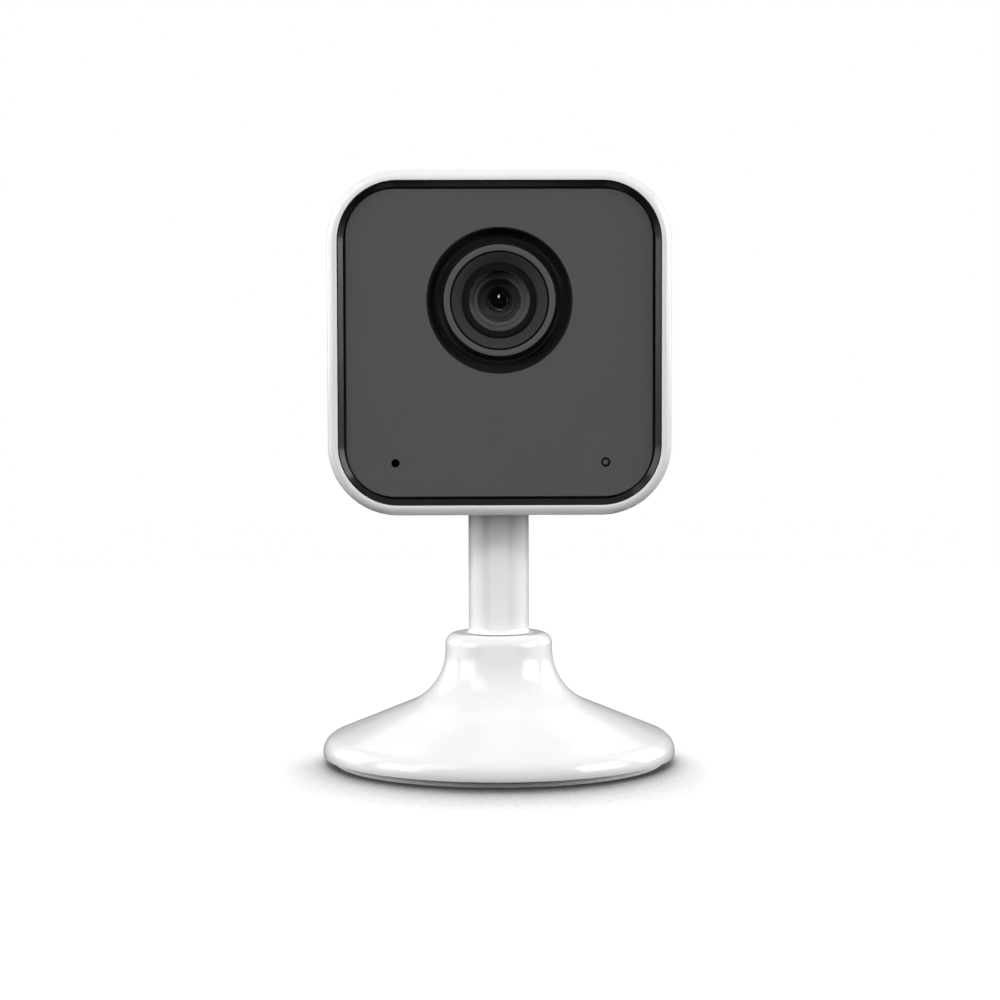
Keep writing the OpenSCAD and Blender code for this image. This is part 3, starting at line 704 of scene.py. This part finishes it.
def housing():
    """The white shell: a round lip in front, the rear wall, the hinge pocket, and its openings."""
    front, back = head_low.y, head_high.y
    inner_edge = 0.1
    profile = [(WALL, CAVITY_BACK)]
    profile += arc((WALL - inner_edge, front + inner_edge), inner_edge, 0, -90, 4)
    profile += arc((LIP_R, front + LIP_R), LIP_R, 270, 180, 16)
    profile += arc((REAR_EDGE_R, back - REAR_EDGE_R), REAR_EDGE_R, 180, 90, 24)
    mesh = bmesh.new()
    add_loft(mesh, square_loops(HEAD_W, CORNER_R, profile))
    piece = to_object(mesh, "housing")

    inside = bmesh.new()
    add_prism(inside, pocket_outline(), POCKET_HALF)
    for x, z in MAIN_SCREWS:
        add_rod(inside, MAIN_BOSS_R, (MAIN_BOARD_BACK + 0.05, CAVITY_BACK + 0.3), (x, 0, z))
    carve(piece, inside, "UNION")

    slot = bmesh.new()
    add_prism(slot, swept_outline(SLOT_HALF, 30), SLOT_HALF)
    carve(piece, slot)

    holes = bmesh.new()
    through = CAVITY_BACK - 0.2
    for x, z in grille_places():
        add_revolve(holes, hole_profile(GRILLE_HOLE_R, back, through, REAR_RIM), (x, 0, z), "Y", 24)
    add_revolve(holes, hole_profile(RESET_HOLE_R, back, through, REAR_RIM), (RESET.x, 0, RESET.z), "Y", 48)
    add_flared_loft(holes, USB_OPENING, back, through, 0.3, (USB.x, USB.z))
    slot_front, slot_back, slot_length = CARD_SLOT
    add_block(holes, (head_low.x - 1, slot_front, CARD.z - slot_length / 2),
              (head_low.x + WALL + 0.4, slot_back, CARD.z + slot_length / 2))
    add_rod(holes, PIN_HOLE_R, (-POCKET_HALF - 1, POCKET_HALF + 1), (0, 0, HINGE_Z), "X")
    for x, z in MAIN_SCREWS:
        add_rod(holes, SCREW_PILOT_R, (MAIN_BOARD_BACK - 0.1, CAVITY_BACK - 0.8), (x, 0, z), segments=24)
    pocket_roof = HINGE_Z + POCKET_TOP
    for x in (-YOKE_SCREW_X, YOKE_SCREW_X):
        add_rod(holes, YOKE_PILOT_R, (pocket_roof - 2.2, pocket_roof + 1), (x, 0, 0), "Z", 24)
    carve(piece, holes)
    return finish_piece(piece, "head", "white_gloss_plastic", "rear_shell")


# ---- head front ----

def bezel_frame():
    """The dark frame in the housing's lip: a sloped strip round the plate, and the web behind it."""
    front = bezel_low.y
    outer_edge = 0.12
    profile = [(0, WEB_Y[1])]
    profile += arc((outer_edge, front + outer_edge), outer_edge, 180, 270, 3)
    profile += [(BEZEL_STRIP - 0.06, front + BEZEL_SLOPE - 0.04), (BEZEL_STRIP, front + BEZEL_SLOPE + 0.04),
                (BEZEL_STRIP, WEB_Y[0])]
    mesh = bmesh.new()
    add_loft(mesh, square_loops(BEZEL_W, BEZEL_R, profile))
    piece = to_object(mesh, "bezel_frame")
    bosses = bmesh.new()
    for x, z in FRONT_SCREWS:
        add_rod(bosses, FRONT_BOSS_R, (WEB_Y[1] - 0.1, bezel_high.y), (x, 0, z))
    carve(piece, bosses, "UNION")
    holes = bmesh.new()
    add_rod(holes, DISH_R, THROUGH_WEB, (0, 0, LENS_Z), segments=96)
    for side in (-1, 1):
        add_rod(holes, IR_HOLE_R, THROUGH_WEB, (side * IR_LED_X, 0, LENS_Z))
    add_rod(holes, SENSOR_HOLE_R, THROUGH_WEB, (LIGHT_SENSOR.x, 0, LIGHT_SENSOR.z))
    add_rod(holes, MIC_HOLE_R, THROUGH_WEB, (MIC.x, 0, MIC.z))
    add_rod(holes, PIPE_HOLE_R, THROUGH_WEB, (LED.x, 0, LED.z))
    for x, z in FRONT_SCREWS:
        add_rod(holes, SCREW_PILOT_R, (WEB_Y[0] + 0.6, THROUGH_WEB[1]), (x, 0, z), segments=24)
    carve(piece, holes)
    return finish_piece(piece, "head", "dark_bezel", "front_bezel")


def face_plate():
    """The flat dark plate with its holes for the lens dish, the microphone and the light."""
    front, back = plate_low.y, plate_high.y
    edge = 0.15
    profile = arc((edge, back - edge), edge, 90, 180, 3) + arc((edge, front + edge), edge, 180, 270, 4)
    mesh = bmesh.new()
    add_loft(mesh, square_loops(PLATE_W, PLATE_R, profile))
    piece = to_object(mesh, "face_plate")
    holes = bmesh.new()
    for radius, at, rim, segments in (
        (DISH_R, (0, 0, LENS_Z), 0.04, 192),
        (MIC_HOLE_R, (MIC.x, 0, MIC.z), 0.05, 48),
        (LIGHT_HOLE_R, (LED.x, 0, LED.z), 0.05, 48),
    ):
        add_revolve(holes, hole_profile(radius, front, back + 1, rim), at, "Y", segments)
    carve(piece, holes)
    return finish_piece(piece, "head", "dark_plate", "front_plate")


def lens_dish():
    """The black recess round the lens: a thin rim, a curved wall, and a ledge against the grey ring."""
    front, back = dish_low.y, dish_high.y
    gap = 0.05
    outer, inner = DISH_R - gap, TRIM_R + gap
    floor_y = WEB_Y[0]
    rim, cove_r = 0.05, 1.5
    flange = [(DISH_R + reach, y) for reach, y in
              ((-0.5, WEB_Y[1] + gap), (1.2, WEB_Y[1] + gap), (1.2, back), (-0.5, back))]
    profile = [(outer, back), (outer, front + rim)] + arc((outer - rim, front + rim), rim, 0, -90, 3)
    profile += arc((outer - 0.12, front + rim), rim, 270, 180, 3)
    profile += arc((outer - 0.5 - cove_r, floor_y - cove_r), cove_r, 0, 90, 12)
    profile += arc((inner + 0.55, floor_y - 0.35), 0.2, 90, 180, 3)
    profile += [(inner + 0.35, floor_y - 0.8)] + arc((inner + 0.2, floor_y - 0.85), 0.15, 0, -180, 6)
    profile += [(inner, -8.9), (TRIM_R + 1.6, -8.9), (TRIM_R + 1.6, back)]
    mesh = bmesh.new()
    add_revolve(mesh, profile, (0, 0, LENS_Z), "Y", 224)
    piece = to_object(mesh, "lens_dish")
    flange_mesh = bmesh.new()
    add_revolve(flange_mesh, flange, (0, 0, LENS_Z), "Y", 96)
    carve(piece, flange_mesh, "UNION")
    return finish_piece(piece, "head", "black_gloss", "lens_surround")


def trim_ring():
    """The flat grey ring, a fine black groove inside it, and the dark stepped cone down to the lens."""
    front, back = ring_low.y, ring_high.y
    cone_front_y, cone_back_y, cone_back_r = front + 0.2, -10.2, 6.75
    seat_r, seat_y = 7.35, barrel_low.y - 0.05
    edge = 0.12
    profile = [(TRIM_R, back)] + arc((TRIM_R - edge, front + edge), edge, 0, -90, 4)
    profile += arc((RING_INNER_R + 0.05, front + 0.05), 0.05, 270, 180, 2)
    profile += [(RING_INNER_R, front + RING_GROOVE), (CONE_FRONT_R, front + RING_GROOVE)]
    profile.append((CONE_FRONT_R, cone_front_y))
    steps = 9
    rise = (cone_back_y - cone_front_y) / steps
    run = (CONE_FRONT_R - cone_back_r) / steps
    for i in range(steps):
        radius, y = CONE_FRONT_R - run * i, cone_front_y + rise * i
        profile += [(radius - run * 0.85, y + rise * 0.15), (radius - run, y + rise)]
    profile += [(cone_back_r, seat_y), (seat_r, seat_y), (seat_r, back)]
    mesh = bmesh.new()
    add_revolve(mesh, profile, (0, 0, LENS_Z), "Y")
    piece = finish_piece(to_object(mesh, "trim_ring"), "head", "grey_ring", "lens_trim_ring",
                         ("dark_cone", "black_gloss"))
    paint(piece, 1, lambda p: lens_radius(p) < CONE_FRONT_R - 0.02)
    paint(piece, 2, lambda p: CONE_FRONT_R - 0.02 <= lens_radius(p) < RING_INNER_R + 0.01)
    return piece


# ---- lens ----

def lens_barrel():
    """The black barrel: baffle rings that step down to the inner lens, painted lighter greys in place of
    their sheen, and a polished bevel round it.
    """
    front, back = barrel_low.y, barrel_high.y
    flange_r, flange_back, body_r, rear_bore_r, rear_bore_y = 7.2, -8.2, 5.95, 4.2, -5.2
    edge, groove = 0.06, 0.12
    profile = [(rear_bore_r, back), (body_r, back), (body_r, flange_back), (flange_r, flange_back)]
    profile += arc((flange_r - edge, front + edge), edge, 0, -90, 3)
    profile += arc((GLASS_BORE_R + edge, front + edge), edge, 270, 180, 3)
    for outer, inner, floor_y, drop in (
        (GLASS_BORE_R, BAFFLE_R[0], BAFFLE_Y[0], 0.10),
        (BAFFLE_R[0], BAFFLE_R[1], BAFFLE_Y[1], 0.30),
        (BAFFLE_R[1], BEVEL_R[0], BAFFLE_Y[2], 0.0),
    ):
        middle, slope = (outer + inner) / 2, drop / (outer - inner)
        profile.append((outer, floor_y))
        for reach, sunk in ((groove, 0), (groove / 2, groove), (-groove / 2, groove), (-groove, 0)):
            profile.append((middle + reach, floor_y + slope * (outer - middle - reach) + sunk))
        profile += [(inner + edge, floor_y + drop), (inner, floor_y + drop + edge)]
    profile += [(BEVEL_R[1], BEVEL_BACK), (BEVEL_R[1], rear_bore_y)]
    profile.append((rear_bore_r, rear_bore_y))
    mesh = bmesh.new()
    add_revolve(mesh, profile, (0, 0, LENS_Z), "Y")
    piece = finish_piece(to_object(mesh, "barrel"), "head", "black_matte", "lens_barrel",
                         ("baffle", "black_satin", "lens_core"))
    # painted reflection: the first two baffle rings get lighter, gloss-free greys than the rest of the black
    # barrel
    paint(piece, 1, lambda p: BAFFLE_R[0] < lens_radius(p) < GLASS_BORE_R and p.y < BAFFLE_Y[0] + 0.3)
    paint(piece, 2, lambda p: BAFFLE_R[1] < lens_radius(p) < BAFFLE_R[0] - 0.01 and p.y < BAFFLE_Y[1] + 0.6)
    paint(piece, 3, lambda p: BEVEL_R[1] + 0.01 < lens_radius(p) < BEVEL_R[0] and p.y < BEVEL_BACK)
    return piece


def lens_retainer():
    """The thin black ring that holds the front glass."""
    low, high = box_mm("lens_retainer")
    outer, inner, edge = high.x, GLASS_BORE_R, 0.1
    profile = [(outer, high.y)] + arc((outer - edge, low.y + edge), edge, 0, -90, 3)
    profile += arc((inner + edge, low.y + edge), edge, 270, 180, 3) + [(inner, high.y)]
    mesh = bmesh.new()
    add_revolve(mesh, profile, (0, 0, LENS_Z), "Y", 160)
    return finish_piece(to_object(mesh, "retainer_ring"), "head", "black_matte", "lens_retainer")


def lens_glass(name, node, look, dome_r, back_curve_r=0.0, edge=0.06):
    """A lens with a domed front, a ground rim and a flat or hollow back."""
    low, high = box_mm(node)
    radius = high.x
    sag = dome_r - math.sqrt(dome_r ** 2 - radius ** 2)
    half_angle = math.degrees(math.asin((radius - edge) / dome_r))
    profile = [(0, low.y)] + arc((0, low.y + dome_r), dome_r, -90, half_angle - 90, 20)[1:]
    profile += [(radius, low.y + sag + edge), (radius, high.y - edge), (radius - edge, high.y)]
    if back_curve_r:
        reach = radius - 4 * edge
        deep = back_curve_r - math.sqrt(back_curve_r ** 2 - reach ** 2)
        turn = math.degrees(math.asin(reach / back_curve_r))
        profile += arc((0, high.y - deep + back_curve_r), back_curve_r, turn - 90, -90, 12)[:-1]
        profile.append((0, high.y - deep))
    else:
        profile.append((0, high.y))
    mesh = bmesh.new()
    add_revolve(mesh, profile, (0, 0, LENS_Z), "Y", 128)
    piece = finish_piece(to_object(mesh, name), "head", "glass", node, ("ground_edge",), look)
    paint(piece, 1, lambda p: radius - edge < lens_radius(p) and p.y < high.y - 2 * edge)
    return piece


def microphone_seal():
    """The foam ring round the microphone, closed by the dust mesh that shows in the plate's hole."""
    low, high = box_mm("mic_gasket")
    radius, edge = high.x - MIC.x, 0.1
    profile = [(0, high.y), (radius, high.y)] + arc((radius - edge, low.y + edge), edge, 0, -90, 4)
    profile += [(MIC_HOLE_R + 0.1, low.y), (MIC_HOLE_R, low.y + 0.12), (0, low.y + 0.12)]
    mesh = bmesh.new()
    add_revolve(mesh, profile, (MIC.x, 0, MIC.z), "Y", 64)
    return finish_piece(to_object(mesh, "microphone_seal"), "head", "black_foam", "mic_gasket")


def light_guide():
    """The clear pin that carries the status light to the plate, with a shoulder and a domed end."""
    low, high = box_mm("light_pipe")
    pin_r, shoulder_r, shoulder_y, edge = 0.55, 1.3, -9.5, 0.15
    profile = [(0, high.y), (shoulder_r - 0.1, high.y), (shoulder_r, high.y - 0.1), (shoulder_r, shoulder_y)]
    profile += [(pin_r, shoulder_y)] + arc((pin_r - edge, low.y + edge), edge, 0, -75, 5) + [(0, low.y)]
    mesh = bmesh.new()
    add_revolve(mesh, profile, (LED.x, 0, LED.z), "Y", 48)
    return finish_piece(to_object(mesh, "light_guide"), "head", "light_pipe", "light_pipe")


# ---- sockets and button ----

def usb_socket():
    """The power socket: a folded steel shell with a flared mouth, and its tongue with five contacts."""
    low, high = box_mm("usb_port")
    width, height, corner = high.x - low.x, high.z - low.z, 0.8
    wall, deep, flare = 0.3, 4.4, 0.12
    outer = [(0.0, low.y), (0.0, high.y - 0.05), (0.05, high.y)]
    inner = [(wall - flare, high.y), (wall, high.y - 0.35), (wall + 0.05, high.y - deep)]
    mesh = bmesh.new()
    add_loft(mesh, [
        front_loop(rounded_rect(width - 2 * inset, height - 2 * inset, corner - inset, 8), y, USB.x, USB.z)
        for inset, y in outer + inner
    ])
    piece = to_object(mesh, "usb_socket")
    tongue = bmesh.new()
    bottom = high.y - deep
    add_block(tongue, (USB.x - 1.9, bottom - 0.2, USB.z - 0.3), (USB.x + 1.9, high.y - 0.6, USB.z + 0.3))
    for i in range(5):
        x = USB.x + (i - 2) * 0.65
        add_block(tongue, (x - 0.14, bottom + 0.1, USB.z - 0.36), (x + 0.14, high.y - 0.8, USB.z - 0.28))
    carve(piece, tongue, "UNION")
    piece = finish_piece(piece, "head", "socket_steel", "usb_port", ("black_matte", "brass"))

    def inside(p):
        """Whether a point lies on the tongue."""
        return abs(p.x - USB.x) < 1.95 and abs(p.z - USB.z) < 0.37 and p.y > bottom + 0.01

    paint(piece, 1, inside)
    paint(piece, 2, lambda p: inside(p) and p.z < USB.z - 0.305)
    return piece


def reset_cap():
    """The small push button in the rear wall, with a collar inside and a slightly hollow face."""
    low, high = box_mm("reset_button")
    face_r, collar_r, collar_back, edge, hollow = 1.6, 2.5, 11.9, 0.25, 0.12
    profile = [(0, low.y), (collar_r, low.y), (collar_r, collar_back), (face_r, collar_back)]
    profile += arc((face_r - edge, high.y - edge), edge, 0, 90, 5)
    profile += [(1.0, high.y - 0.03), (0.6, high.y - 0.09), (0, high.y - hollow)]
    mesh = bmesh.new()
    add_revolve(mesh, profile, (RESET.x, 0, RESET.z), "Y", 64)
    return finish_piece(to_object(mesh, "reset_cap"), "reset_button", "white_gloss_plastic", "reset_button")


# ---- studio and camera ----

CAMERA_AT = Vector((-0.01132, -0.49887, 0.0815))
CAMERA_PITCH = 3.85
CAMERA_YAW = 1.34
CAMERA_ROLL = 0.13
SENSOR_MM = 36.0
LENS_MM = 98.6
LIT_POINT = Vector((0, 0, 0.07))
FLOOR_RINGS = (20, 40, 80, 160, 280, 420)
FLOOR_DEPTH = 5
FLOOR_GLOW = 0.17
FLOOR_DARK = (0.94, 0.94, 0.94)
FLOOR_PALE = (0.96, 0.96, 0.96)
# the floor's painted contact shadow: its darkest colour, and below, how far it reaches, how it leans and how
# it spreads
CONTACT_DARK = (0.09, 0.09, 0.09)
DOME_BELOW = 0.0
DOME_HORIZON = 0.10
DOME_ZENITH = 0.40
CONTACT_REACH = 0.07
CONTACT_LEAN = 75
CONTACT_RANGE = (0.16, 0.60)


def add_camera():
    """A long-lens camera in front of the head, a little to its left, looking slightly down."""
    data = bpy.data.cameras.new("camera")
    data.sensor_width = SENSOR_MM
    data.lens = LENS_MM
    data.clip_start = 0.01
    data.clip_end = 20
    camera = bpy.data.objects.new("camera", data)
    bpy.context.scene.collection.objects.link(camera)
    camera.location = CAMERA_AT
    camera.rotation_euler = [math.radians(a) for a in (90 - CAMERA_PITCH, CAMERA_ROLL, -CAMERA_YAW)]
    bpy.context.scene.camera = camera


def softbox(name, azimuth, elevation, distance, size, radiance, shape="RECTANGLE"):
    """A soft light aimed at the head. Azimuth 0 is the camera's side, 90 is +X. Sizes are in metres."""
    turn, rise = math.radians(azimuth), math.radians(elevation)
    way = Vector((math.sin(turn) * math.cos(rise), -math.cos(turn) * math.cos(rise), math.sin(rise)))
    data = bpy.data.lights.new(name, "AREA")
    data.shape = shape
    data.size, data.size_y = size
    area = size[0] * size[1] * (math.pi / 4 if shape == "ELLIPSE" else 1)
    data.energy = radiance * math.pi * area
    lamp = bpy.data.objects.new(name, data)
    bpy.context.scene.collection.objects.link(lamp)
    lamp.location = LIT_POINT + way * distance
    lamp.rotation_euler = (-way).to_track_quat("-Z", "Y").to_euler()
    lamp.visible_camera = False
    return lamp


def add_world():
    """White behind the object, and a soft dome, dark below the horizon and behind the camera."""
    world = bpy.data.worlds.new("studio")
    bpy.context.scene.world = world
    world.use_nodes = True
    tree = world.node_tree
    backdrop = tree.nodes["Background"]
    backdrop.inputs["Color"].default_value = (1, 1, 1, 1)
    dome = tree.nodes.new("ShaderNodeBackground")
    ways = tree.nodes.new("ShaderNodeTexCoord")
    split = tree.nodes.new("ShaderNodeSeparateXYZ")
    tree.links.new(ways.outputs["Generated"], split.inputs["Vector"])
    horizon = add_range(tree, split.outputs["Z"], DOME_BELOW, DOME_HORIZON, -0.10, -0.02)
    rise = add_range(tree, split.outputs["Z"], 0.0, DOME_ZENITH - DOME_HORIZON, 0.0, 1.0)
    total = tree.nodes.new("ShaderNodeMath")
    tree.links.new(horizon, total.inputs[0])
    tree.links.new(rise, total.inputs[1])
    behind_camera = add_range(tree, split.outputs["Y"], 0.08, 1.0, -0.92, -0.6)
    dimmed = tree.nodes.new("ShaderNodeMath")
    dimmed.operation = "MULTIPLY"
    tree.links.new(total.outputs["Value"], dimmed.inputs[0])
    tree.links.new(behind_camera, dimmed.inputs[1])
    tree.links.new(dimmed.outputs["Value"], dome.inputs["Strength"])
    path = tree.nodes.new("ShaderNodeLightPath")
    pick = tree.nodes.new("ShaderNodeMixShader")
    tree.links.new(path.outputs["Is Camera Ray"], pick.inputs["Fac"])
    tree.links.new(dome.outputs["Background"], pick.inputs[1])
    tree.links.new(backdrop.outputs["Background"], pick.inputs[2])
    tree.links.new(pick.outputs["Shader"], tree.nodes["World Output"].inputs["Surface"])


def add_floor():
    """A pale round floor with a soft, fine texture and a painted contact shadow: darker where what stands on
    it closes off the view.

    That view leans back, so the painted shadow is longest in front.
    """
    profile = [(0, 0)] + [(radius, 0) for radius in FLOOR_RINGS]
    profile += [(FLOOR_RINGS[-1], -FLOOR_DEPTH), (0, -FLOOR_DEPTH)]
    mesh = bmesh.new()
    add_revolve(mesh, profile, segments=96)
    floor = to_object(mesh, "floor")
    material, tree, shader, where = node_tools("floor_paint")
    tone = add_noise(tree, where, 60.0)
    colours = add_mix(tree, add_range(tree, tone, 0, 1), FLOOR_DARK, FLOOR_PALE)
    backward = tree.nodes.new("ShaderNodeCombineXYZ")
    backward.inputs["Y"].default_value = math.sin(math.radians(CONTACT_LEAN))
    backward.inputs["Z"].default_value = math.cos(math.radians(CONTACT_LEAN))
    # painted shadow: leaned ambient occlusion darkens the floor's colour and glow near what stands on it
    contact_shadow_ao = tree.nodes.new("ShaderNodeAmbientOcclusion")
    contact_shadow_ao.samples = 16
    contact_shadow_ao.inputs["Distance"].default_value = CONTACT_REACH
    tree.links.new(backward.outputs["Vector"], contact_shadow_ao.inputs["Normal"])
    lit = add_range(tree, contact_shadow_ao.outputs["AO"], 0, 1, *CONTACT_RANGE)
    shaded = add_mix(tree, lit, CONTACT_DARK, colours)
    tree.links.new(shaded, shader.inputs["Base Color"])
    tree.links.new(shaded, shader.inputs["Emission Color"])
    shader.inputs["Emission Strength"].default_value = FLOOR_GLOW
    shader.inputs["Roughness"].default_value = 0.9
    shader.inputs["Specular IOR Level"].default_value = 0.0
    floor.data.materials.append(material)
    floor.visible_diffuse = False
    floor.visible_glossy = False


def add_lights(lens_pieces):
    """The key above the camera, panels all round, the table's glow, and the lens's catch light."""
    key = softbox("key", -8, 41, 0.8, (0.2, 0.2), 19.0, "ELLIPSE")
    front_left = softbox("front_left", -35, 14, 0.9, (0.3, 0.4), 2.7)
    for lamp in (key, front_left):
        lamp.visible_glossy = False
    softbox("high_left", -50, 42, 0.85, (0.4, 0.4), 2.2)
    softbox("left", -70, 15, 0.9, (0.55, 0.5), 3.8)
    softbox("right", 70, 15, 0.9, (0.55, 0.5), 6.2)
    softbox("left_back", -118, 15, 0.85, (0.5, 0.5), 3.5)
    softbox("right_back", 118, 15, 0.85, (0.5, 0.5), 4.0)
    softbox("back", 180, 40, 0.85, (0.7, 0.5), 0.7)
    for azimuth, width, radiance in ((0, 1.3, 1.5), (-92, 0.9, 1.1), (92, 0.9, 0.9)):
        strip = softbox(f"table_glow_{azimuth}", azimuth, -9, 0.9, (width, 0.14), radiance)
        strip.visible_diffuse = False
    catch = softbox("lens_catch", 2, 31, 0.8, (0.28, 0.34), 85, "ELLIPSE")
    catch.visible_diffuse = False
    lens_only = bpy.data.collections.new("lens_catch_receivers")
    for piece in lens_pieces:
        lens_only.objects.link(piece)
    catch.light_linking.receiver_collection = lens_only


def main():
    """Builds every piece, then the studio."""
    dress_cad_nodes()
    stand_base()
    rubber_foot()
    stem_tube()
    housing()
    bezel_frame()
    face_plate()
    lens_dish()
    trim_ring()
    lens_retainer()
    barrel = lens_barrel()
    lens_glass("front_glass", "lens_front_element", "glass", 34.0, 20.0)
    inner_glass = lens_glass("inner_glass", "lens_middle_element", "lens_core", 3.0, edge=0.14)
    microphone_seal()
    light_guide()
    usb_socket()
    reset_cap()
    add_camera()
    add_world()
    add_floor()
    add_lights((barrel, inner_glass))
    bpy.context.scene.view_settings.view_transform = "Standard"


main()
